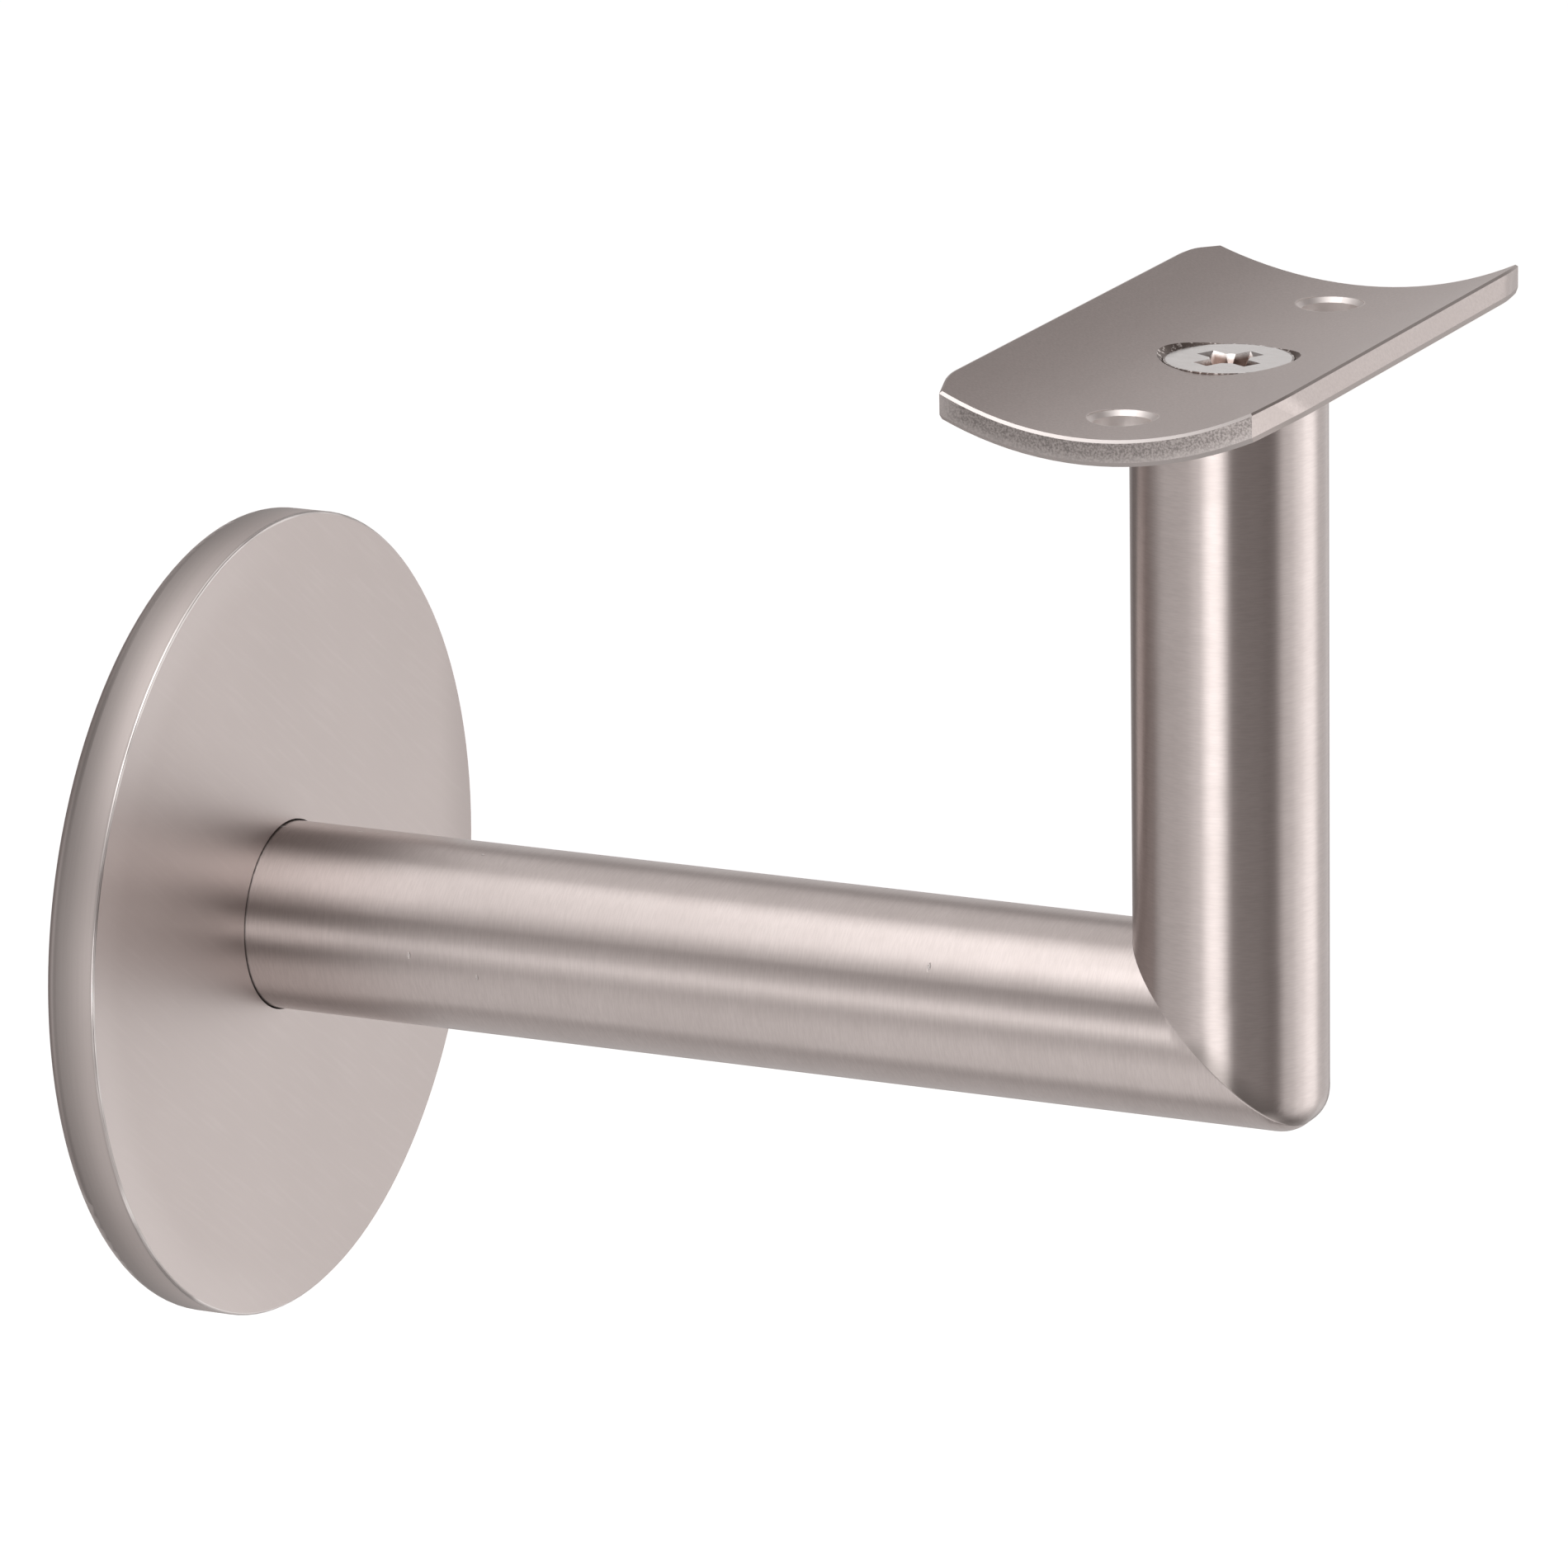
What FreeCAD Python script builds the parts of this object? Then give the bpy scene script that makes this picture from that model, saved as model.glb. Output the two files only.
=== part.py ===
import FreeCAD, Part
import math
import os

# Handrail bracket: a round rod with a mitred elbow stands off a wall on a turned
# rosette and carries a curved saddle plate, which is screwed up under the handrail.
# Millimetres. The origin is the centre of the rosette's back face, on the wall.
# The wall is the plane Y = 0, the arm runs along -Y, the post stands up along +Z
# and the rail lies along X.

# Rod: arm and post are one diameter of bar, mitred, welded and ground
rod_diameter = 14.0
reach = 80.0            # wall to the axis of the post
seat_height = 48.7      # axis of the arm to the lowest line of the rail's seat
elbow_radius = 2.8      # rounding of the outer corner, seen from the side
rod_end_break = 0.4     # chamfer on the end that seats in the rosette

# Stiffness of the mitre edge: 0.707 is a round fillet, larger is sharper
edge_at_tip = math.sqrt(0.5)
edge_between = 2.0
edge_at_side = 3.0

# Rosette: a turned disc, with a shallow seat for the rod in its front face
rosette_diameter = 60.0
rosette_thickness = 4.2
rosette_front_break = 0.2
rosette_back_round = 1.2
rod_seat_depth = 2.2
rod_seat_clearance = 0.12   # all round the rod, the thin dark ring in the face
stud_hole_diameter = 9.0    # lets the wall stud through to the rod

# Tapped hole in the wall end of the arm, for the wall stud
stud_core_diameter = 6.8
stud_thread_diameter = 8.0
stud_thread_depth = 20.0
drill_point_angle = 118.0

# Saddle: a strip bent to the rail's curve
saddle_length = 50.4        # at the middle of its bowed ends
saddle_width = 25.0         # straight across the seat, from edge to edge
saddle_thickness = 1.9
saddle_offset = 0.5         # middle of the width beyond the post's axis, away from the wall
rail_radius = 28.0
saddle_end_bow = 0.8        # the ends are ground to a shallow arc
saddle_facet_length = 3.2   # facet ground on each corner, along the side
saddle_facet_width = 0.9    # and across the end
saddle_side_round = 3.0     # where a facet runs out into the side
saddle_top_break = 0.2
saddle_bottom_break = 0.35
rail_screw_spacing = 37.2
rail_screw_hole = 4.2
rail_screw_hole_break = 0.35

# Countersunk screw that holds the saddle on the post
screw_diameter = 5.0
screw_head_diameter = 9.2
screw_head_rim = 0.1        # thickness of the head at its full diameter
screw_head_stand = 0.1      # top of the head above the lowest line of the seat
screw_length = 12.0
screw_tip_break = 0.8
countersink_angle = 90.0
countersink_clearance = 0.05
screw_way_clearance = 0.2   # all round the shank, below the countersink
thread_clearance = 0.02
tapped_depth_spare = 2.0    # tapped hole beyond the screw's tip
cross_width = 5.2           # recess, tip to tip
cross_wing_thickness = 1.5
cross_floor_width = 2.2
cross_floor_thickness = 0.9
cross_depth = 2.4
cross_core_diameter = 2.9
cross_turn = 62.0           # first pair of wings, from the rail's direction

rod_radius = rod_diameter / 2
axis_x = FreeCAD.Vector(1, 0, 0)
axis_y = FreeCAD.Vector(0, 1, 0)
axis_z = FreeCAD.Vector(0, 0, 1)
rod_seat_y = -(rosette_thickness - rod_seat_depth)
saddle_underside = seat_height - saddle_thickness
screw_top = seat_height + screw_head_stand
countersink_slope = math.tan(math.radians(countersink_angle / 2))


def point_on_post_axis(height):
    return FreeCAD.Vector(0, -reach, height)


def turned(outline, centre, axis):
    """Revolve an outline of (radius, distance along the axis) corners."""
    across = axis_x
    corners = [centre + across * radius + axis * along for radius, along in outline]
    face = Part.Face(Part.makePolygon(corners + [corners[0]]))
    return face.revolve(centre, axis, 360)


def prism_along_x(outline, length):
    """Extrude an outline of (y, z) corners to both sides of the plane X = 0."""
    corners = [FreeCAD.Vector(-length / 2, y, z) for y, z in outline]
    face = Part.Face(Part.makePolygon(corners + [corners[0]]))
    return face.extrude(axis_x * length)


def drill_cone_length(radius):
    return radius / math.tan(math.radians(drill_point_angle / 2))


def screw_cone_radius(height):
    """Radius of the cone under the screw's head, at a height in the whole model."""
    drop = screw_top - screw_head_rim - height
    return screw_head_diameter / 2 - drop * countersink_slope


def edges_where(shape, wanted):
    return [edge for edge in shape.Edges if wanted(edge)]


def is_circle(edge, radius, y):
    """A whole circle of that radius round the rosette's axis, at that depth."""
    curve = edge.Curve
    if not isinstance(curve, Part.Circle):
        return False
    return abs(curve.Radius - radius) < 0.001 and abs(curve.Center.y - y) < 0.001


# Elbow. Around the outer half of the mitre, every generator line of the arm runs
# into one of the post. A conic arc joins each pair, tangent to both, so the elbow
# is round at its tip and keeps a soft mitre line on its flanks.
half_circle = [
    (-1, 0, 1.0, edge_at_side),
    (-1, 1, math.sqrt(0.5), edge_between),
    (0, 1, 1.0, edge_at_tip),
    (1, 1, math.sqrt(0.5), edge_between),
    (1, 0, 1.0, edge_at_side),
]


def elbow_point(across, outward, along_arm, along_post):
    return FreeCAD.Vector(
        rod_radius * across,
        -reach - along_arm * outward,
        -along_post * outward,
    )


def elbow_rim(along_arm, along_post):
    """Half ellipse where the rounding meets one of the two rods."""
    curve = Part.BSplineCurve()
    curve.buildFromPolesMultsKnots(
        [elbow_point(s, c, along_arm, along_post) for s, c, weight, edge in half_circle],
        [3, 2, 3], [0, 1, 2], False, 2,
        [weight for s, c, weight, edge in half_circle],
    )
    return curve.toShape()


def elbow_corner():
    """The rounded corner piece between the cut ends of the arm and the post."""
    tangent = rod_radius - elbow_radius
    rows = [(tangent, rod_radius), (rod_radius, rod_radius), (rod_radius, tangent)]
    poles = [[elbow_point(s, c, a, p) for a, p in rows] for s, c, weight, edge in half_circle]
    weights = [[weight, weight * edge, weight] for s, c, weight, edge in half_circle]
    skin = Part.BSplineSurface()
    skin.buildFromPolesMultsKnots(
        poles, [3, 2, 3], [3, 3], [0, 1, 2], [0, 1], False, False, 2, 2, weights
    )
    faces = [skin.toShape()]
    cross_line = Part.makeLine(elbow_point(-1, 0, 0, 0), elbow_point(1, 0, 0, 0))
    for along_arm, along_post in (rows[0], rows[2]):
        rim = elbow_rim(along_arm, along_post)
        faces.append(Part.Face(Part.Wire(Part.__sortEdges__([rim, cross_line]))))
    shell = Part.Shell(faces)
    shell.sewShape()
    corner = Part.Solid(shell)
    return corner if corner.Volume > 0 else corner.reversed()


def arm_and_post():
    past = 2 * rod_diameter
    slope = (rod_radius - elbow_radius) / rod_radius
    far = reach + seat_height + past

    arm = Part.makeCylinder(rod_radius, reach + past, FreeCAD.Vector(0, rod_seat_y, 0), -axis_y)
    arm = arm.common(prism_along_x(
        [(-reach, 0), (-reach + past, past), (far, past), (far, -past), (-reach - slope * past, -past)],
        2 * rod_diameter,
    ))
    post = Part.makeCylinder(rod_radius, far, point_on_post_axis(-past), axis_z)
    post = post.common(prism_along_x(
        [(-reach, 0), (-reach + past, past), (-reach + past, far),
         (-reach - past, far), (-reach - past, -slope * past)],
        2 * rod_diameter,
    ))
    rod = arm.fuse([post, elbow_corner()]).removeSplitter()

    # The post ends in a cope that fits the round underside of the saddle
    cope_radius = rail_radius + saddle_thickness
    cope = Part.makeCylinder(
        cope_radius, 2 * rod_diameter,
        FreeCAD.Vector(-rod_diameter, -reach, seat_height + rail_radius), axis_x,
    )
    above_cope = Part.makeBox(
        2 * rod_diameter, 2 * rod_diameter, far,
        FreeCAD.Vector(-rod_diameter, -reach - rod_diameter, seat_height + rail_radius),
    )
    rod = rod.cut([cope, above_cope])

    # Tapped hole for the wall stud, with its drill point and a broken mouth
    core = stud_core_diameter / 2
    opening = stud_thread_diameter / 2 + rod_end_break / 2
    stud_hole = turned(
        [(0, -past), (opening, -past), (opening, 0), (core, opening - core), (core, stud_thread_depth),
         (0, stud_thread_depth + drill_cone_length(core))],
        FreeCAD.Vector(0, rod_seat_y, 0), -axis_y,
    )
    end_break = turned(
        [(rod_radius - rod_end_break, 0), (rod_diameter, 0), (rod_diameter, rod_end_break),
         (rod_radius, rod_end_break)],
        FreeCAD.Vector(0, rod_seat_y, 0), -axis_y,
    )

    # Tapped hole for the saddle's screw, opened where the head's cone reaches into it
    tapped = screw_diameter / 2 + thread_clearance
    mouth = max(tapped, screw_cone_radius(saddle_underside)) + countersink_clearance
    depth = screw_length - screw_head_stand - saddle_thickness + tapped_depth_spare
    screw_hole = turned(
        [(0, past), (mouth + past * countersink_slope, past),
         (tapped, (tapped - mouth) / countersink_slope), (tapped, -depth),
         (0, -depth - drill_cone_length(tapped))],
        point_on_post_axis(saddle_underside), axis_z,
    )
    return rod.cut([stud_hole, end_break, screw_hole])


def wall_rosette():
    radius = rosette_diameter / 2
    seat = rod_radius + rod_seat_clearance
    hole = stud_hole_diameter / 2
    front = rosette_thickness
    disc = turned(
        [(hole, 0), (radius, 0), (radius, front), (seat, front), (seat, front - rod_seat_depth),
         (hole, front - rod_seat_depth)],
        FreeCAD.Vector(0, 0, 0), -axis_y,
    )
    disc = disc.makeFillet(rosette_back_round, edges_where(disc, lambda edge: is_circle(edge, radius, 0)))
    return disc.makeChamfer(
        rosette_front_break, edges_where(disc, lambda edge: is_circle(edge, radius, -front))
    )


def saddle_plan():
    """Prism over the saddle's outline from above, with bowed ends and a facet on each corner."""
    end = saddle_length / 2
    side = saddle_width / 2
    past = saddle_width
    height = 2 * (rail_radius + saddle_thickness)

    def corner(x, y):
        return FreeCAD.Vector(x, y - reach - saddle_offset, saddle_underside - saddle_thickness)

    def bowed(x, y):
        return corner(x - math.copysign(saddle_end_bow * (y / side) ** 2, x), y)

    outline = [
        Part.Arc(bowed(-end, past), bowed(-end, 0), bowed(-end, -past)).toShape(),
        Part.makeLine(bowed(-end, -past), bowed(end, -past)),
        Part.Arc(bowed(end, -past), bowed(end, 0), bowed(end, past)).toShape(),
        Part.makeLine(bowed(end, past), bowed(-end, past)),
    ]
    plan = Part.Face(Part.Wire(outline)).extrude(axis_z * height)

    # Each facet runs from the side to the end; what lies outside its line is cut away
    corner_x = end - saddle_end_bow
    lean = saddle_facet_width / saddle_facet_length
    for x in (-1, 1):
        for y in (-1, 1):
            outside = [
                corner(x * (corner_x - saddle_facet_length - past), y * (side + lean * past)),
                corner(x * (corner_x + past), y * (side - saddle_facet_width - lean * past)),
                corner(x * (corner_x + past), y * (side + lean * past)),
            ]
            face = Part.Face(Part.makePolygon(outside + [outside[0]]))
            plan = plan.cut(face.extrude(axis_z * height))
    return plan


def rail_saddle():
    # Bent round the rail's axis, so the long sides of the strip point at that axis
    rail_axis = FreeCAD.Vector(0, -reach, seat_height + rail_radius)
    turn_outward = math.degrees(math.asin((saddle_width / 2 + saddle_offset) / rail_radius))
    turn_to_wall = math.degrees(math.asin((saddle_width / 2 - saddle_offset) / rail_radius))
    corners = [
        FreeCAD.Vector(x, -reach, z)
        for x, z in (
            (-saddle_length / 2, saddle_underside), (saddle_length / 2, saddle_underside),
            (saddle_length / 2, seat_height), (-saddle_length / 2, seat_height),
        )
    ]
    section = Part.Face(Part.makePolygon(corners + [corners[0]]))
    section.rotate(rail_axis, axis_x, -turn_outward)
    strip = section.revolve(rail_axis, axis_x, turn_outward + turn_to_wall)
    saddle = strip.common(saddle_plan()).removeSplitter()

    def from_rail_axis(edge, share):
        first, last = edge.ParameterRange
        point = edge.valueAt(first + share * (last - first))
        return math.hypot(point.y - rail_axis.y, point.z - rail_axis.z)

    def lies_at(edge, radius):
        return all(abs(from_rail_axis(edge, share) - radius) < 0.001 for share in (0, 0.3, 0.7, 1))

    def is_side_corner(edge):
        """Edge through the strip's thickness where a facet meets a long side."""
        rise = abs(from_rail_axis(edge, 0) - from_rail_axis(edge, 1))
        facet_middle = saddle_length / 2 - saddle_end_bow - saddle_facet_length / 2
        return abs(rise - saddle_thickness) < 0.001 and abs(edge.CenterOfMass.x) < facet_middle

    saddle = saddle.makeFillet(saddle_side_round, edges_where(saddle, is_side_corner))
    for radius, size in (
        (rail_radius, saddle_top_break), (rail_radius + saddle_thickness, saddle_bottom_break),
    ):
        saddle = saddle.makeChamfer(size, edges_where(saddle, lambda edge: lies_at(edge, radius)))

    # Two plain holes for the screws up into the rail, each with a softened mouth
    hole = rail_screw_hole / 2
    mouth = hole + rail_screw_hole_break
    seat = saddle_thickness
    holes = []
    for side in (-1, 1):
        centre = FreeCAD.Vector(side * rail_screw_spacing / 2, -reach, saddle_underside)
        holes.append(turned(
            [(0, -seat), (mouth + seat, -seat), (hole, rail_screw_hole_break),
             (hole, seat - rail_screw_hole_break), (mouth, seat), (mouth, 2 * seat), (0, 2 * seat)],
            centre, axis_z,
        ))

    # Countersink for the head; under it the shank has its way through
    at_seat = screw_cone_radius(seat_height) + countersink_clearance
    way = screw_diameter / 2 + screw_way_clearance
    countersink = turned(
        [(0, -2 * seat), (way, -2 * seat), (way, (way - at_seat) / countersink_slope),
         (at_seat + saddle_width * countersink_slope, saddle_width), (0, saddle_width)],
        FreeCAD.Vector(0, -reach, seat_height), axis_z,
    )
    return saddle.cut(holes + [countersink])


def cross_recess():
    """Four tapering wings and a conical core, sunk from the top of the head."""
    def wing(turn):
        outlines = []
        for width, thickness, height in (
            (cross_width, cross_wing_thickness, screw_top),
            (cross_floor_width, cross_floor_thickness, screw_top - cross_depth),
        ):
            corners = [
                FreeCAD.Vector(x * width / 2, y * thickness / 2, height)
                for x, y in ((-1, -1), (1, -1), (1, 1), (-1, 1))
            ]
            outlines.append(Part.makePolygon(corners + [corners[0]]))
        solid = Part.makeLoft(outlines, True, True)
        solid.rotate(FreeCAD.Vector(0, 0, 0), axis_z, turn)
        solid.translate(point_on_post_axis(0))
        return solid

    core = Part.makeCone(
        cross_core_diameter / 2, 0, cross_core_diameter, point_on_post_axis(screw_top), -axis_z
    )
    return [wing(cross_turn), wing(cross_turn + 90), core]


def saddle_screw():
    head = screw_head_diameter / 2
    shank = screw_diameter / 2
    cone_length = (head - shank) / countersink_slope
    screw = turned(
        [(0, 0), (head, 0), (head, -screw_head_rim), (shank, -screw_head_rim - cone_length),
         (shank, screw_tip_break - screw_length), (shank - screw_tip_break, -screw_length),
         (0, -screw_length)],
        point_on_post_axis(screw_top), axis_z,
    )
    return screw.cut(cross_recess())


def write(name, shape):
    solids = shape.Solids
    solid = solids[0] if len(solids) == 1 else Part.makeCompound(solids)
    solid.exportStep(os.path.join("parts", name + ".step"))
    print(name, "solids", len(solids), "valid", solid.isValid(), "volume", round(shape.Volume, 2))


os.makedirs("parts", exist_ok=True)
write("bracket_arm", arm_and_post())
write("wall_rosette", wall_rosette())
write("rail_saddle", rail_saddle())
write("saddle_screw", saddle_screw())
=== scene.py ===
import math

import bpy
from mathutils import Matrix, Vector


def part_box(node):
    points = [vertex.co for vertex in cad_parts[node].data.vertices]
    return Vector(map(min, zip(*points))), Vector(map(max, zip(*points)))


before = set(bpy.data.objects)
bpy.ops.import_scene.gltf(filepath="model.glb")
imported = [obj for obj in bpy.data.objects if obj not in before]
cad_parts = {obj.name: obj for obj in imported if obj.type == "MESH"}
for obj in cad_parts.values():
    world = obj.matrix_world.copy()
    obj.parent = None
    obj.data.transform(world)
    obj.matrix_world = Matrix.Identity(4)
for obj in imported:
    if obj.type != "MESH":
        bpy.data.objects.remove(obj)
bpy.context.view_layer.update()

# Handrail bracket in satin nickel: a brushed rod with a mitred elbow, a turned wall
# rosette, a blasted saddle plate and a bright countersunk screw.
# Metres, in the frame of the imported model: the wall is the plane Y = 0, the arm runs
# along -Y, the post stands up along +Z and the rail lies along X.

MM = 0.001

# Places that the finishes need, read from the frame
rod_low, rod_high = (Vector(corner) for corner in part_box("bracket_arm"))
rosette_low, rosette_high = (Vector(corner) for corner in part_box("wall_rosette"))
saddle_low = Vector(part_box("rail_saddle")[0])
screw_high = Vector(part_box("saddle_screw")[1])
ROD_RADIUS = rod_high.x
POST_Y = rod_low.y + ROD_RADIUS
WALL_Y = rosette_high.y
ROSETTE_FRONT_Y = rosette_low.y
ROSETTE_RADIUS = rosette_high.x
HEAD_RADIUS = screw_high.x
HEAD_TOP_Z = screw_high.z

# Sizes of the saddle plate, as in the part's source
RAIL_RADIUS = 28.0 * MM
SADDLE_THICKNESS = 1.9 * MM
HOLE_SPACING = 37.2 * MM
HOLE_RADIUS = 2.1 * MM
BEND_Z = saddle_low.z + SADDLE_THICKNESS + RAIL_RADIUS  # height of the axis of the saddle's bend

# Viewpoint of the photograph
CAMERA_AZIMUTH = math.radians(-64.44)
CAMERA_ELEVATION = math.radians(15.71)
CAMERA_ROLL = math.radians(-0.95)
CAMERA_DISTANCE = 777.9 * MM
CAMERA_ASIDE = 39.7 * MM
CAMERA_RAISED = 7.0 * MM
CLIP_START = 10 * MM
SENSOR = 36.0  # Blender takes this one in millimetres
# In the photograph's pixels
PHOTO_SIDE = 1900
FOCAL_PIXELS = 12678
PHOTO_CENTRE_SHIFT = (13, 36)


def direction(azimuth, elevation):
    """Unit vector; azimuth 0 is along -Y and grows toward +X."""
    return Vector((
        math.sin(azimuth) * math.cos(elevation),
        -math.cos(azimuth) * math.cos(elevation),
        math.sin(elevation),
    ))


def make_camera():
    back = direction(CAMERA_AZIMUTH, CAMERA_ELEVATION)
    level = Vector((math.cos(CAMERA_AZIMUTH), math.sin(CAMERA_AZIMUTH), 0))
    upright = back.cross(level)
    right = math.cos(CAMERA_ROLL) * level + math.sin(CAMERA_ROLL) * upright
    up = math.cos(CAMERA_ROLL) * upright - math.sin(CAMERA_ROLL) * level
    data = bpy.data.cameras.new("camera")
    data.sensor_width = SENSOR
    data.lens = FOCAL_PIXELS * SENSOR / PHOTO_SIDE
    data.shift_x = PHOTO_CENTRE_SHIFT[0] / PHOTO_SIDE
    data.shift_y = PHOTO_CENTRE_SHIFT[1] / PHOTO_SIDE
    data.clip_start = CLIP_START
    camera = bpy.data.objects.new("camera", data)
    turn = Matrix((right, up, back)).transposed().to_4x4()
    place = back * CAMERA_DISTANCE + right * CAMERA_ASIDE + up * CAMERA_RAISED
    camera.matrix_world = Matrix.Translation(place) @ turn
    bpy.context.scene.collection.objects.link(camera)
    bpy.context.scene.camera = camera


# Inputs A and B of a mix node and its result, by what it mixes
MIX_SOCKETS = {"FLOAT": (2, 3, 0), "VECTOR": (4, 5, 1), "RGBA": (6, 7, 2)}


class Finish:
    """One node material, with short names for the nodes that it is made of."""

    def __init__(self, name):
        self.material = bpy.data.materials.new(name)
        self.material.use_nodes = True
        self.tree = self.material.node_tree
        self.tree.nodes.clear()
        self.place = self.add("ShaderNodeTexCoord").outputs["Object"]
        self.normal = self.add("ShaderNodeNewGeometry").outputs["Normal"]

    def add(self, kind, inputs=(), **settings):
        node = self.tree.nodes.new(kind)
        for name, value in settings.items():
            setattr(node, name, value)
        for name, value in dict(inputs).items():
            self.set(node.inputs[name], value)
        return node

    def set(self, socket, value):
        if isinstance(value, bpy.types.NodeSocket):
            self.tree.links.new(value, socket)
        else:
            socket.default_value = value

    # Numbers
    def math(self, operation, a, b=0.0):
        return self.add("ShaderNodeMath", {0: a, 1: b}, operation=operation).outputs[0]

    def plus(self, a, b):
        return self.math("ADD", a, b)

    def minus(self, a, b):
        return self.math("SUBTRACT", a, b)

    def times(self, a, b):
        return self.math("MULTIPLY", a, b)

    def over(self, a, b):
        return self.math("DIVIDE", a, b)

    def absolute(self, a):
        return self.math("ABSOLUTE", a)

    def ramp(self, value, start, stop, at_start=0.0, at_stop=1.0):
        """Smooth step, from at_start where the value is at its start to at_stop at its stop."""
        node = self.add(
            "ShaderNodeMapRange",
            {"Value": value, "From Min": start, "From Max": stop, "To Min": at_start, "To Max": at_stop},
            interpolation_type="SMOOTHSTEP",
        )
        return node.outputs["Result"]

    def fall(self, value, start, stop):
        return self.ramp(value, start, stop, 1.0, 0.0)

    def band(self, value, rise, fall):
        """1 between a rise and a fall, 0 outside them."""
        return self.times(self.ramp(value, *rise), self.fall(value, *fall))

    # Vectors
    def vector(self, operation, a, b=(0, 0, 0)):
        node = self.add("ShaderNodeVectorMath", {0: a, 1: b}, operation=operation)
        return node.outputs["Vector"]

    def unit(self, a):
        return self.vector("NORMALIZE", a)

    def length(self, a):
        return self.add("ShaderNodeVectorMath", {0: a}, operation="LENGTH").outputs["Value"]

    def parts(self, vector):
        return self.add("ShaderNodeSeparateXYZ", {0: vector}).outputs

    def join(self, x, y, z):
        return self.add("ShaderNodeCombineXYZ", {0: x, 1: y, 2: z}).outputs[0]

    # Mixes: a where the share is 0, b where it is 1
    def mix(self, kind, share, a, b):
        first, second, result = MIX_SOCKETS[kind]
        node = self.add("ShaderNodeMix", {0: share, first: a, second: b}, data_type=kind)
        return node.outputs[result]

    def blend(self, share, a, b):
        return self.mix("FLOAT", share, a, b)

    def turn(self, share, a, b):
        return self.mix("VECTOR", share, a, b)

    def tint(self, share, a, b):
        return self.mix("RGBA", share, a, b)

    # Textures and the shader
    def noise(self, scale, stretch=(1, 1, 1), detail=2.0, rough=0.5, place=None):
        """Scale is in waves to the metre, and stretch multiplies it along each axis."""
        spot = self.vector("MULTIPLY", place or self.place, stretch)
        node = self.add(
            "ShaderNodeTexNoise", {"Vector": spot, "Scale": scale, "Detail": detail, "Roughness": rough}
        )
        return node.outputs["Fac"]

    def bump(self, height, distance, normal=None):
        inputs = {"Height": height, "Distance": distance, "Strength": 1.0}
        if normal is not None:
            inputs["Normal"] = normal
        return self.add("ShaderNodeBump", inputs).outputs["Normal"]

    def surface(
        self, base, roughness, metallic=1.0, normal=None, tangent=None, anisotropic=0.0, glow=0.0
    ):
        shader = self.add("ShaderNodeBsdfPrincipled", {"Base Color": base, "Roughness": roughness})
        shader.inputs["Metallic"].default_value = metallic
        shader.inputs["Anisotropic"].default_value = anisotropic
        shader.inputs["Emission Color"].default_value = (1, 1, 1, 1)
        shader.inputs["Emission Strength"].default_value = glow
        if normal is not None:
            self.set(shader.inputs["Normal"], normal)
        if tangent is not None:
            self.set(shader.inputs["Tangent"], tangent)
        self.add("ShaderNodeOutputMaterial", {"Surface": shader.outputs["BSDF"]})

    def paint(self, piece):
        piece.data.materials.clear()
        piece.data.materials.append(self.material)


# Studio: a pale floor, a grey surround and a few large soft lights
FLOOR_DROP = 600 * MM
FLOOR_SIDE = 40.0
FLOOR_GRAIN = 3.0
FLOOR_TONES = ((0.84, 0.84, 0.84, 1), (0.87, 0.87, 0.87, 1))
FLOOR_ROUGHNESS = 0.9
FLOOR_GLOW = 0.85
AIM = Vector((0, -40 * MM, 10 * MM))
SURROUND = (0.20, 0.18, 0.175, 1)
BACKDROP = (0.95, 0.95, 0.95, 1)


def make_floor():
    bpy.ops.mesh.primitive_plane_add(size=FLOOR_SIDE, location=(0, 0, -FLOOR_DROP))
    floor = bpy.context.object
    floor.name = "floor"
    floor.visible_glossy = False
    finish = Finish("pale_floor")
    base = finish.tint(finish.noise(FLOOR_GRAIN, detail=3.0), *FLOOR_TONES)
    finish.surface(base, FLOOR_ROUGHNESS, metallic=0.0, glow=FLOOR_GLOW)
    finish.paint(floor)


def softbox(name, azimuth, elevation, width, height, radiance, distance=1.6, layers=1, shrink=0.8):
    """Rectangular light that faces AIM, placed and sized in degrees as seen from there.

    With several layers its edges fall off in steps, each layer smaller than the last.
    """
    away = direction(math.radians(azimuth), math.radians(elevation))
    for layer in range(layers):
        scale = shrink ** layer
        data = bpy.data.lights.new(name, "AREA")
        data.shape = "RECTANGLE"
        data.size = 2 * distance * math.tan(math.radians(width * scale) / 2)
        data.size_y = 2 * distance * math.tan(math.radians(height * scale) / 2)
        data.energy = radiance / layers * math.pi * data.size * data.size_y
        light = bpy.data.objects.new(name, data)
        light.location = AIM + away * (distance + layer * MM)
        light.rotation_euler = away.to_track_quat("Z", "Y").to_euler()
        light.visible_camera = False
        bpy.context.scene.collection.objects.link(light)


def make_surround():
    """Plain grey all round for the metal, and a pale backdrop where the floor ends."""
    world = bpy.data.worlds.new("surround")
    world.use_nodes = True
    tree = world.node_tree
    path = tree.nodes.new("ShaderNodeLightPath")
    mix = tree.nodes.new("ShaderNodeMix")
    mix.data_type = "RGBA"
    first, second, result = MIX_SOCKETS["RGBA"]
    mix.inputs[first].default_value = SURROUND
    mix.inputs[second].default_value = BACKDROP
    tree.links.new(path.outputs["Is Camera Ray"], mix.inputs[0])
    tree.links.new(mix.outputs[result], tree.nodes["Background"].inputs["Color"])
    bpy.context.scene.world = world


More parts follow.
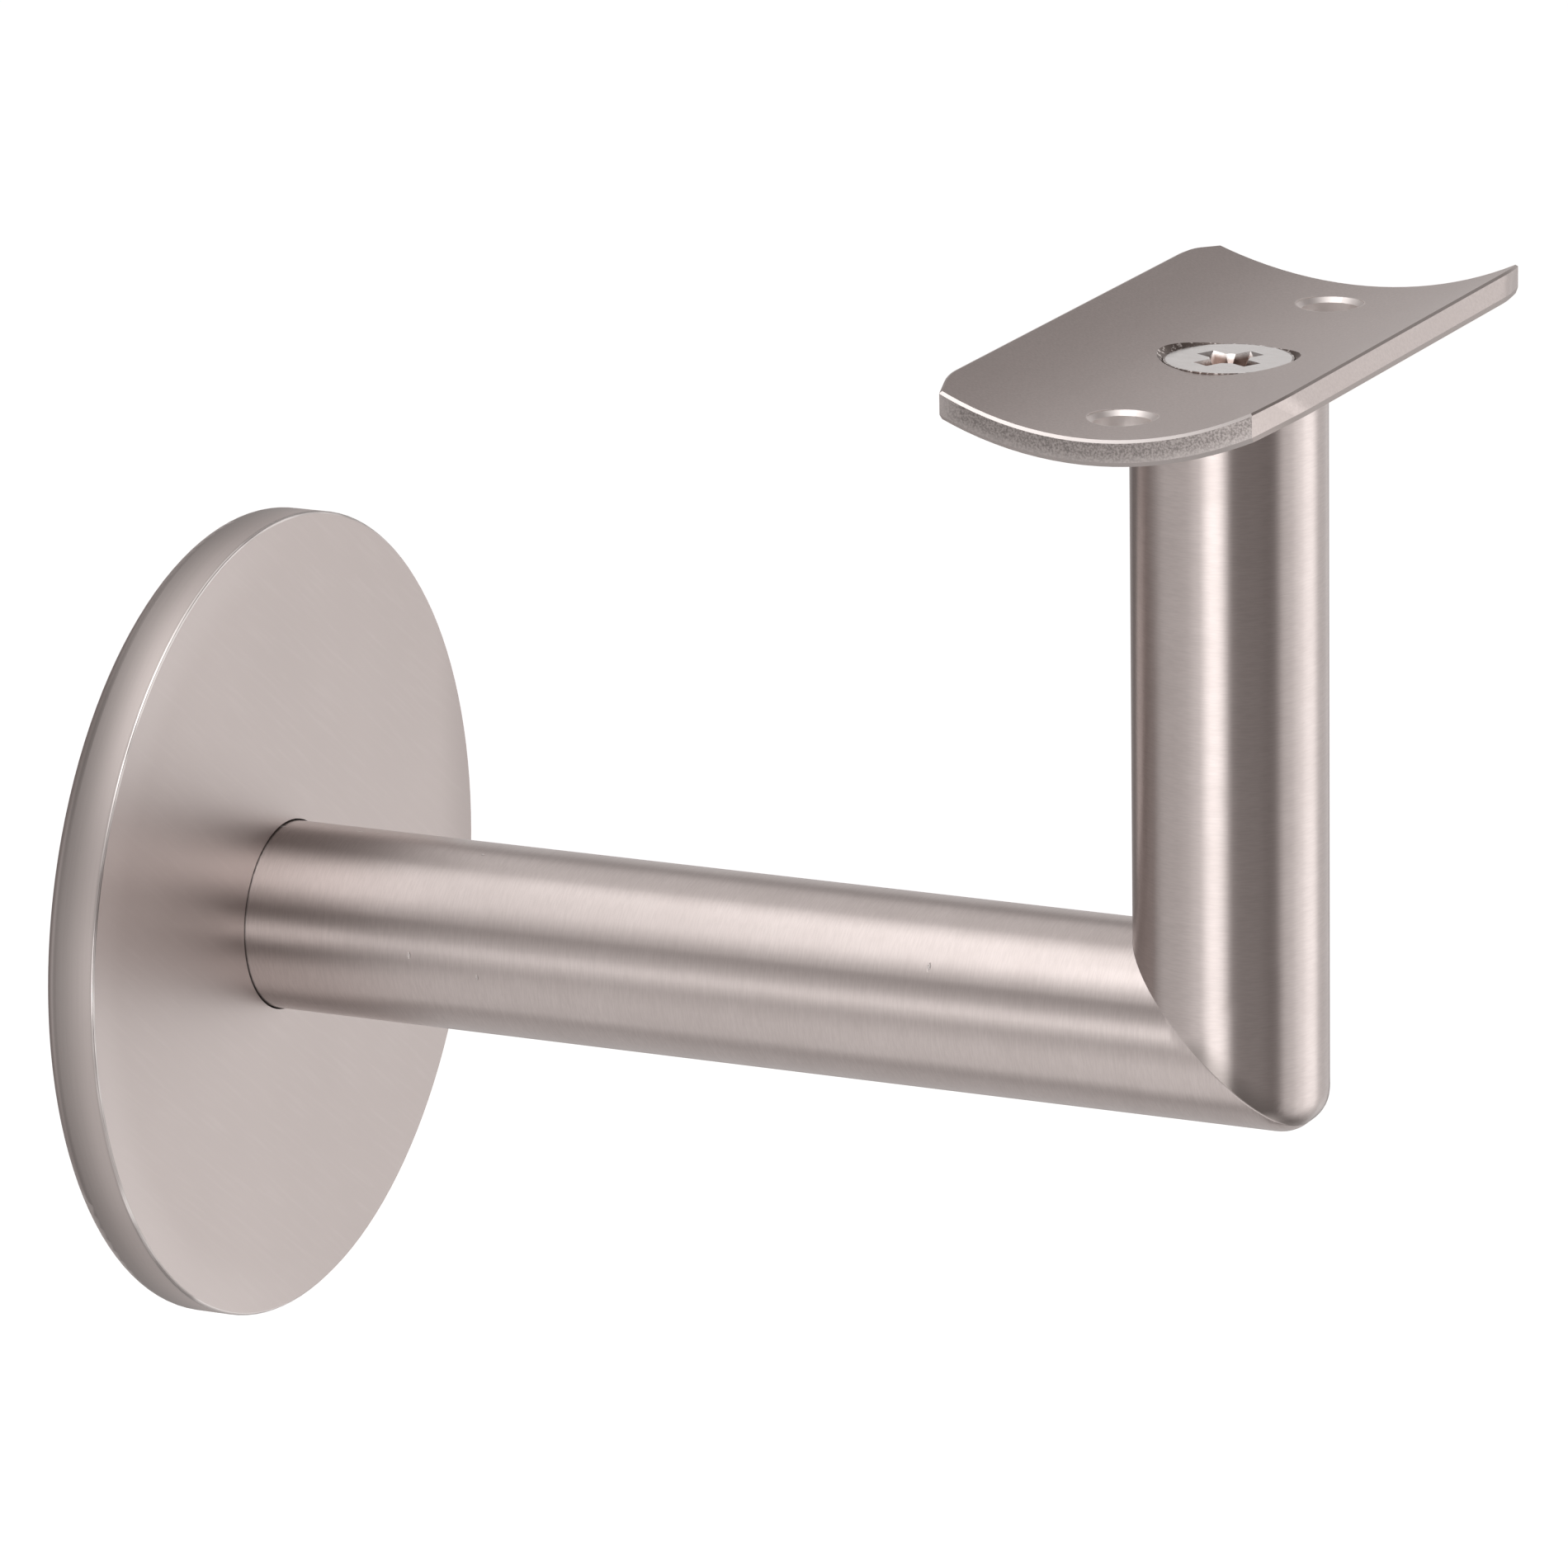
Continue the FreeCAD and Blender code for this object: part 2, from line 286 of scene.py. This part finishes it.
def make_studio():
    bpy.context.scene.view_settings.view_transform = "Standard"
    make_surround()
    softbox("key", 38, -8, 46, 70, 1.5, layers=4, shrink=0.75)
    softbox("key_front", 8, -10, 34, 70, 0.66, layers=3)
    softbox("key_side", 76, -5, 34, 70, 0.50, layers=2)
    softbox("key_high", 62, 17, 28, 26, 0.50, layers=2)
    softbox("strip", -82, -5, 30, 27, 3.7, layers=3, shrink=0.7)
    softbox("strip_back", -101, -2, 16, 14, 1.05, layers=2)
    softbox("fill_left", -128, -8, 100, 92, 0.46, layers=4, shrink=0.78)
    softbox("top", -88, 64, 66, 72, 2.7, distance=0.35, layers=4, shrink=0.75)
    softbox("top_back", 140, 56, 60, 50, 0.68, layers=3)
    softbox("back_right", 110, 5, 56, 50, 0.45, layers=3)
    softbox("bounce", -72, -62, 90, 60, 0.78, distance=0.5, layers=3)
    softbox("bounce_right", 115, -55, 80, 60, 0.40, distance=0.5, layers=2)


# Seam of the elbow. A place along it is how far it lies past the arm's axis plus how far
# past the post's, toward the tip. Midway the weld is ground soft, and both rods turn into
# one normal there. Past that the seam is a crisp line, up to the rounded tip.
SOFT_BEGINS = (-5.0 * MM, -2.0 * MM)
SOFT_ENDS = (-1.0 * MM, 0.6 * MM)
CRISP_BEGINS = (-1.5 * MM, 0.0)
CRISP_ENDS = (8.5 * MM, 10.5 * MM)
# How far from the mitre plane the normals turn, on each stretch
UNTOUCHED_WIDTH = 0.02 * MM
SOFT_WIDTH = 0.9 * MM
CRISP_WIDTH = 0.1 * MM
# Painted shade on the post's side of the seam
SEAM_SHADE_BEGINS = (-2.0 * MM, 0.5 * MM)
SEAM_SHADE_FADES = (0.1 * MM, 1.7 * MM)
SEAM_SHADE_SHARE = 0.8

# Small pale nicks in the rod, as in the photograph: millimetres from the wall, degrees round
# the arm from -X toward +Z, then half length along and half width across in millimetres
NICKS = [
    (4.0, 84, 0.55, 0.10),
    (10.3, 91, 0.30, 0.12),
    (11.6, 94, 0.25, 0.12),
    (21.3, 77, 0.12, 0.12),
    (17.8, 2, 0.10, 0.22),
    (23.3, -7, 0.09, 0.20),
    (59.1, 32, 0.11, 0.30),
]
NICK_RAGGED = 9000.0
NICK_DEPTH = 0.04 * MM

# Brush marks, in waves to the metre round the rod and along it
FINE_MARKS = (1100.0, 9500.0)
RINGS = (90.0, 2600.0)
BRUSH_DEPTH = 0.0008 * MM
ROD_PATCHES = 220.0

ROD_TONES = ((0.560, 0.500, 0.482, 1), (0.620, 0.556, 0.536, 1))
ROD_PATCH_TONE = (0.52, 0.46, 0.44, 1)
# Colour of the painted shade beside the seam
SEAM_SHADE_TONE = (0.33, 0.295, 0.28, 1)
NICK_TONE = (0.74, 0.70, 0.68, 1)
ROD_ROUGHNESS = 0.27
ROD_PATCH_ROUGHER = 0.06
NICK_ROUGHER = 0.25
ROD_ANISOTROPY = 0.75


def elbow_normal(finish, on_arm, from_mitre, outward):
    """The rod's normal, turned beside the seam where the welded joint is ground soft."""
    x, y, z = finish.parts(finish.place)
    arm_normal = finish.unit(finish.join(x, 0.0, z))
    post_normal = finish.unit(finish.join(x, finish.minus(y, POST_Y), 0.0))
    shared_normal = finish.unit(finish.vector("ADD", arm_normal, post_normal))
    crisp = finish.band(outward, CRISP_BEGINS, CRISP_ENDS)
    seamed = finish.turn(crisp, finish.normal, finish.turn(on_arm, post_normal, arm_normal))
    width = finish.math(
        "MINIMUM",
        finish.ramp(outward, *SOFT_BEGINS, UNTOUCHED_WIDTH, SOFT_WIDTH),
        finish.ramp(outward, *SOFT_ENDS, SOFT_WIDTH, CRISP_WIDTH),
    )
    softened = finish.fall(finish.over(from_mitre, width), 0.0, 1.0)
    return finish.unit(finish.turn(softened, seamed, shared_normal))


def nicks_on_arm(finish):
    """1 inside the nicks and 0 outside, with ragged edges."""
    nick = 0.0
    for from_wall, angle, half_along, half_across in NICKS:
        turn = math.radians(angle)
        spot = Vector((-ROD_RADIUS * math.cos(turn), WALL_Y - from_wall * MM, ROD_RADIUS * math.sin(turn)))
        reach = finish.join(1 / (half_across * MM), 1 / (half_along * MM), 1 / (half_across * MM))
        offset = finish.vector("SUBTRACT", finish.place, spot)
        away = finish.length(finish.vector("MULTIPLY", offset, reach))
        ragged = finish.plus(away, finish.times(finish.noise(NICK_RAGGED), 1.2))
        nick = finish.math("MAXIMUM", nick, finish.fall(ragged, 1.0, 1.9))
    return nick


def brushed_rod():
    """Satin nickel, brushed round the arm and round the post."""
    finish = Finish("brushed_rod")
    place = finish.parts(finish.place)
    # The mitre plane parts the arm from the post, each brushed round its own axis
    past_post = finish.minus(place["Y"], POST_Y)
    past_mitre = finish.minus(past_post, place["Z"])
    from_mitre = finish.over(finish.absolute(past_mitre), math.sqrt(2))
    outward = finish.minus(finish.minus(POST_Y, place["Y"]), place["Z"])
    on_arm = finish.math("GREATER_THAN", past_mitre, 0.0)
    on_post = finish.minus(1.0, on_arm)

    def brushed(around, along, detail):
        stretch = finish.join(
            around, finish.blend(on_arm, around, along), finish.blend(on_arm, along, around)
        )
        return finish.noise(1.0, stretch, detail=detail)

    fine = brushed(*FINE_MARKS, 3.0)
    rings = brushed(*RINGS, 2.0)
    marks = finish.plus(finish.times(fine, 0.8), finish.times(rings, 0.2))
    patches = finish.noise(ROD_PATCHES, detail=4.0)
    nick = nicks_on_arm(finish)
    # Painted shade on the post's side of the seam, fading away from it
    seam_shade = finish.times(finish.fall(from_mitre, *SEAM_SHADE_FADES), on_post)
    seam_shade = finish.times(seam_shade, finish.ramp(outward, *SEAM_SHADE_BEGINS, 0.0, SEAM_SHADE_SHARE))

    base = finish.tint(finish.ramp(marks, 0.3, 0.7), *ROD_TONES)
    base = finish.tint(finish.ramp(patches, 0.35, 0.75, 0.0, 0.25), base, ROD_PATCH_TONE)
    # Painted shade beside the seam
    base = finish.tint(seam_shade, base, SEAM_SHADE_TONE)
    base = finish.tint(nick, base, NICK_TONE)
    roughness = finish.plus(ROD_ROUGHNESS, finish.times(patches, ROD_PATCH_ROUGHER))
    roughness = finish.plus(roughness, finish.times(nick, NICK_ROUGHER))
    shape = elbow_normal(finish, on_arm, from_mitre, outward)
    normal = finish.bump(marks, BRUSH_DEPTH, normal=shape)
    normal = finish.bump(finish.minus(1.0, nick), NICK_DEPTH, normal=normal)
    tangent = finish.join(0.0, on_arm, on_post)
    finish.surface(base, roughness, normal=normal, tangent=tangent, anisotropic=ROD_ANISOTROPY)
    finish.paint(bpy.data.objects["bracket_arm"])


# Rosette. Its rim and its broken edge are told by how far their normals lean toward the
# wall's own, which is 1 on the face and 0 on the rim.
RIM_LEAN = (0.15, 0.45)
EDGE_LEAN = ((0.5, 0.6), (0.75, 0.85))
EDGE_BREAK = 0.2 * MM
RIM_CROWN = 0.06  # lean of the rim's normal at its edges
# Where a thin painted dark line runs round the rim, just behind its front edge
RIM_SHADE_LINE_BEGINS = ROSETTE_FRONT_Y + 0.36 * MM
RIM_SHADE_LINE_ENDS = ROSETTE_FRONT_Y + 0.24 * MM

# Waves to the metre, for the strokes along and across them
STROKE_SLANT = math.radians(-36.0)
STROKES = (160.0, 2600.0)
TURNING = (120.0, 14000.0, 120.0)
ROSETTE_GRAIN = 7000.0
ROSETTE_GRAIN_DEPTH = 0.0022 * MM
FACE_CLOUDS = 70.0
EDGE_WEAR = 110.0

FACE_TONES = ((0.575, 0.515, 0.495, 1), (0.605, 0.543, 0.523, 1))
FACE_STROKE_TONE = (0.65, 0.59, 0.57, 1)
FACE_RIM_BAND_TONE = (0.68, 0.62, 0.60, 1)
FACE_DARKER_SIDE_TONE = (0.43, 0.38, 0.365, 1)
# Painted shade: the rim's tones are darker by the wall than in front
RIM_SHADED_TONES_BY_WALL = ((0.31, 0.278, 0.267, 1), (0.36, 0.323, 0.310, 1))
RIM_LIT_TONES_IN_FRONT = ((0.53, 0.476, 0.458, 1), (0.58, 0.520, 0.500, 1))
# Colour of the rim's painted dark line
RIM_SHADE_LINE_TONE = (0.30, 0.268, 0.256, 1)
# The worn front edge, made brighter with a painted highlight
EDGE_WEAR_AND_HIGHLIGHT_TONES = ((0.48, 0.44, 0.425, 1), (0.82, 0.77, 0.75, 1))
FACE_ROUGHNESS = 0.35
FACE_CLOUD_ROUGHER = 0.06
RIM_ROUGHNESS = 0.46
EDGE_ROUGHNESS = 0.3


def face_strokes(finish, x, z):
    """Faint brush strokes, slanting down across the face."""
    aside = math.cos(STROKE_SLANT)
    down = math.sin(STROKE_SLANT)
    along = finish.plus(finish.times(x, aside), finish.times(z, down))
    across = finish.minus(finish.times(z, aside), finish.times(x, down))
    stretch = finish.join(STROKES[0], 0.0, STROKES[1])
    return finish.noise(1.0, stretch, detail=4.0, place=finish.join(along, 0.0, across))


def satin_rosette():
    """Fine matt face, and a turned rim with painted shade that darkens it toward the wall."""
    finish = Finish("satin_rosette")
    x, y, z = finish.parts(finish.place)
    from_axis = finish.length(finish.join(x, 0.0, z))
    lean = finish.absolute(finish.parts(finish.normal)["Y"])
    rim = finish.fall(lean, *RIM_LEAN)
    # Only the front edge: the back one, by the wall, has such normals too
    in_front = finish.math("LESS_THAN", y, 0.5 * ROSETTE_FRONT_Y)
    edge = finish.times(finish.band(lean, *EDGE_LEAN), in_front)

    # The broken front edge is really a small round, and the rim is a little crowned
    radial = finish.unit(finish.join(x, 0.0, z))
    across_edge = finish.ramp(y, ROSETTE_FRONT_Y + EDGE_BREAK, ROSETTE_FRONT_Y)
    rounded = finish.turn(across_edge, radial, (0.0, -1.0, 0.0))
    crown = finish.times(finish.ramp(y, 0.0, ROSETTE_FRONT_Y, RIM_CROWN, -RIM_CROWN), rim)
    crowned = finish.vector("ADD", finish.normal, finish.join(0.0, crown, 0.0))
    shape = finish.unit(finish.turn(edge, crowned, rounded))

    # Face: lighter in a band by the rim on its -X side, and darker toward its +X edge
    clouds = finish.noise(FACE_CLOUDS, detail=3.0)
    strokes = finish.ramp(face_strokes(finish, x, z), 0.45, 0.8, 0.0, 0.35)
    rim_band = finish.times(
        finish.ramp(from_axis, 0.84 * ROSETTE_RADIUS, 0.97 * ROSETTE_RADIUS),
        finish.ramp(x, -0.5 * ROSETTE_RADIUS, 0.2 * ROSETTE_RADIUS, 0.5, 0.0),
    )
    darker_side = finish.ramp(x, 0.8 * ROSETTE_RADIUS, ROSETTE_RADIUS, 0.0, 0.5)
    face = finish.tint(clouds, *FACE_TONES)
    face = finish.tint(strokes, face, FACE_STROKE_TONE)
    face = finish.tint(rim_band, face, FACE_RIM_BAND_TONE)
    face = finish.tint(darker_side, face, FACE_DARKER_SIDE_TONE)

    # Rim, with painted shade toward the wall, and a thin painted dark line beside the worn edge and its
    # painted highlight
    turning = finish.noise(1.0, TURNING, detail=3.0)
    # Painted shade, darkening the rim toward the wall
    rim_shaded_to_lit = finish.tint(
        finish.ramp(y, 0.15 * ROSETTE_FRONT_Y, ROSETTE_FRONT_Y),
        finish.tint(turning, *RIM_SHADED_TONES_BY_WALL),
        finish.tint(turning, *RIM_LIT_TONES_IN_FRONT),
    )
    # Painted shade: a thin dark line behind the front edge
    shade_line = finish.times(finish.ramp(y, RIM_SHADE_LINE_BEGINS, RIM_SHADE_LINE_ENDS, 0.0, 0.25), rim)
    # Worn front edge, with a painted highlight
    worn_and_highlit_edge = finish.tint(finish.ramp(finish.noise(EDGE_WEAR), 0.4, 0.6), *EDGE_WEAR_AND_HIGHLIGHT_TONES)
    base = finish.tint(rim, face, rim_shaded_to_lit)
    base = finish.tint(shade_line, base, RIM_SHADE_LINE_TONE)
    base = finish.tint(edge, base, worn_and_highlit_edge)

    roughness = finish.plus(FACE_ROUGHNESS, finish.times(clouds, FACE_CLOUD_ROUGHER))
    roughness = finish.blend(rim, roughness, RIM_ROUGHNESS)
    roughness = finish.blend(edge, roughness, EDGE_ROUGHNESS)
    grain = finish.noise(ROSETTE_GRAIN, detail=2.0)
    finish.surface(base, roughness, normal=finish.bump(grain, ROSETTE_GRAIN_DEPTH, normal=shape))
    finish.paint(bpy.data.objects["wall_rosette"])


# Saddle. Its surfaces are told by how far they look along the radius of the bend, which is
# 1 on the seat and 0 on the cut sides, and by how far they look along X, toward the ends.
SADDLE_EDGE_LOOK = ((0.35, 0.55), (0.85, 0.96))
CUT_LOOK = (0.2, 0.45)
SINK_LOOK = (0.9, 0.97)
POLISHED_ENDWARD = (0.25, 0.5)
GROUND_ENDWARD = (0.6, 0.85)
BORE_REACH = (HOLE_RADIUS + 0.3 * MM, HOLE_RADIUS + 0.5 * MM)
SINK_REACH = 6.5 * MM
# Painted light makes the ground ends paler toward the underside, by depth below the seat, and toward the
# corner on the wall's side, by distance from the post's axis. The polished edges' painted highlight fades
# out there.
PAINTED_LIGHT_BELOW = (0.8 * MM, SADDLE_THICKNESS)
PAINTED_LIGHT_AT_CORNER = (9.0 * MM, 11.5 * MM)
# The polished edges' painted highlight fades out toward the corner
POLISHED_HIGHLIGHT_FADES = (10.6 * MM, 11.8 * MM)

# Waves to the metre
SEAT_GRAIN = 5200.0
END_GRAIN = 6500.0
SEAT_CLOUDS = 120.0
# Painted glints in the countersink
SINK_GLINTS = 3500.0
SADDLE_GRAIN_DEPTH = 0.007 * MM

SEAT_TONES = ((0.46, 0.405, 0.387, 1), (0.64, 0.572, 0.55, 1))
SEAT_CLOUD_TONE = (0.52, 0.46, 0.44, 1)
END_TONES = ((0.22, 0.198, 0.19, 1), (0.42, 0.38, 0.366, 1))
# Painted light on the ground ends
END_PAINTED_LIGHT_TONE = (0.54, 0.495, 0.48, 1)
SADDLE_EDGE_TONE = (0.46, 0.41, 0.39, 1)
# Polished edges, brightened with a painted highlight
POLISHED_HIGHLIGHT_TONE = (0.55, 0.51, 0.495, 1)
# Painted light in the rail holes
BORE_LIGHT_TONE = (0.78, 0.73, 0.71, 1)
# Painted shade on the countersink's wall, and painted glints
SINK_SHADE_AND_GLINT_TONES = ((0.19, 0.155, 0.140, 1), (0.80, 0.74, 0.71, 1))
SEAT_ROUGHNESS = 0.40
CUT_ROUGHNESS = 0.33
POLISHED_ROUGHNESS = 0.45
BORE_ROUGHNESS = 0.5


def blasted_saddle():
    """Blasted top and underside, ground sides and ends, and polished edges at the ends, with painted light
    on the ends and in the rail holes, painted highlights on the polished edges and painted shade in the
    countersink.
    """
    finish = Finish("blasted_saddle")
    x, y, z = finish.parts(finish.place)
    from_post = finish.minus(y, POST_Y)
    to_bend = finish.join(0.0, finish.minus(POST_Y, y), finish.minus(BEND_Z, z))
    along_radius = finish.parts(finish.vector("MULTIPLY", finish.unit(to_bend), finish.normal))
    look = finish.absolute(finish.plus(along_radius["Y"], along_radius["Z"]))
    endward = finish.absolute(finish.parts(finish.normal)["X"])

    # Where each surface is
    edge = finish.band(look, *SADDLE_EDGE_LOOK)
    polished = finish.times(edge, finish.ramp(endward, *POLISHED_ENDWARD))
    cut = finish.fall(look, *CUT_LOOK)
    end = finish.times(cut, finish.ramp(endward, *GROUND_ENDWARD))
    past_hole = finish.minus(finish.absolute(x), HOLE_SPACING / 2)
    bore = finish.fall(finish.length(finish.join(past_hole, from_post, 0.0)), *BORE_REACH)
    from_screw = finish.length(finish.join(x, from_post, 0.0))
    sink = finish.times(
        finish.math("LESS_THAN", from_screw, SINK_REACH), finish.fall(look, *SINK_LOOK)
    )

    # Seat and ground ends
    grain = finish.noise(SEAT_GRAIN, detail=3.0)
    coarse = finish.noise(END_GRAIN, detail=2.0)
    clouds = finish.noise(SEAT_CLOUDS, detail=3.0)
    base = finish.tint(grain, *SEAT_TONES)
    base = finish.tint(finish.ramp(clouds, 0.4, 0.7, 0.0, 0.3), base, SEAT_CLOUD_TONE)
    depth = finish.minus(finish.length(to_bend), RAIL_RADIUS)
    # Painted light: paler toward the underside and toward the corner
    painted_light = finish.math(
        "MAXIMUM",
        finish.ramp(depth, *PAINTED_LIGHT_BELOW, 0.0, 0.75),
        finish.ramp(from_post, *PAINTED_LIGHT_AT_CORNER, 0.0, 0.85),
    )
    ground = finish.tint(finish.ramp(coarse, 0.3, 0.7), *END_TONES)
    base = finish.tint(end, base, finish.tint(painted_light, ground, END_PAINTED_LIGHT_TONE))

    # Edges, rail holes, and painted shade on the countersink's wall, broken by a few painted glints
    # Polished edges with a painted highlight, fading out toward the corner
    polished_highlight = finish.times(polished, finish.fall(from_post, *POLISHED_HIGHLIGHT_FADES))
    # Painted glints in the countersink's painted shade
    glints = finish.ramp(finish.noise(SINK_GLINTS, detail=2.0), 0.56, 0.66)
    base = finish.tint(edge, base, SADDLE_EDGE_TONE)
    base = finish.tint(polished_highlight, base, POLISHED_HIGHLIGHT_TONE)
    # Painted light in the rail holes
    base = finish.tint(bore, base, BORE_LIGHT_TONE)
    base = finish.tint(sink, base, finish.tint(glints, *SINK_SHADE_AND_GLINT_TONES))

    roughness = finish.blend(cut, SEAT_ROUGHNESS, CUT_ROUGHNESS)
    roughness = finish.blend(polished, roughness, POLISHED_ROUGHNESS)
    roughness = finish.blend(bore, roughness, BORE_ROUGHNESS)
    relief = finish.blend(edge, finish.blend(end, grain, coarse), 0.5)
    finish.surface(base, roughness, normal=finish.bump(relief, SADDLE_GRAIN_DEPTH))
    finish.paint(bpy.data.objects["rail_saddle"])


# Screw
RECESS_BEGINS = HEAD_TOP_Z - 0.05 * MM
RECESS_DARK = HEAD_TOP_Z - 0.5 * MM
HEAD_RIM = (HEAD_RADIUS - 0.2 * MM, HEAD_RADIUS - 0.1 * MM)

# Waves to the metre
HEAD_MARKS = 1300.0
HEAD_MARK_DEPTH = 0.008 * MM
SCUFFS = (2600.0, 700.0, 1500.0)
# Painted glints round the head's rim
HEAD_RIM_GLINTS = 2600.0

HEAD_TONES = ((0.84, 0.815, 0.80, 1), (0.93, 0.91, 0.90, 1))
# Painted shade down in the recess, then painted glints and painted shade round the rim
RECESS_SHADE_TONE = (0.42, 0.34, 0.31, 1)
HEAD_RIM_GLINT_AND_SHADE_TONES = ((0.26, 0.21, 0.19, 1), (0.97, 0.93, 0.91, 1))
HEAD_ROUGHNESS = 0.12
SCUFF_ROUGHER = 0.20


def bright_screw():
    """Bright plated head with small scuffs, painted glints and painted shade round its rim, and brownish
    painted shade down in the recess.
    """
    finish = Finish("bright_screw")
    x, y, z = finish.parts(finish.place)
    from_axis = finish.length(finish.join(x, finish.minus(y, POST_Y), 0.0))
    marks = finish.noise(HEAD_MARKS, detail=5.0, rough=0.6)
    glints = finish.ramp(finish.noise(HEAD_RIM_GLINTS, detail=2.0), 0.52, 0.64)
    scuffs = finish.noise(1.0, SCUFFS, detail=3.0)
    base = finish.tint(marks, *HEAD_TONES)
    # Brownish painted shade down in the recess
    base = finish.tint(finish.ramp(z, RECESS_BEGINS, RECESS_DARK), base, RECESS_SHADE_TONE)
    # Painted glints and painted shade round the head's rim
    base = finish.tint(finish.ramp(from_axis, *HEAD_RIM), base, finish.tint(glints, *HEAD_RIM_GLINT_AND_SHADE_TONES))
    roughness = finish.plus(HEAD_ROUGHNESS, finish.times(scuffs, SCUFF_ROUGHER))
    finish.surface(base, roughness, normal=finish.bump(marks, HEAD_MARK_DEPTH))
    finish.paint(bpy.data.objects["saddle_screw"])


make_camera()
make_studio()
make_floor()
brushed_rod()
satin_rosette()
blasted_saddle()
bright_screw()
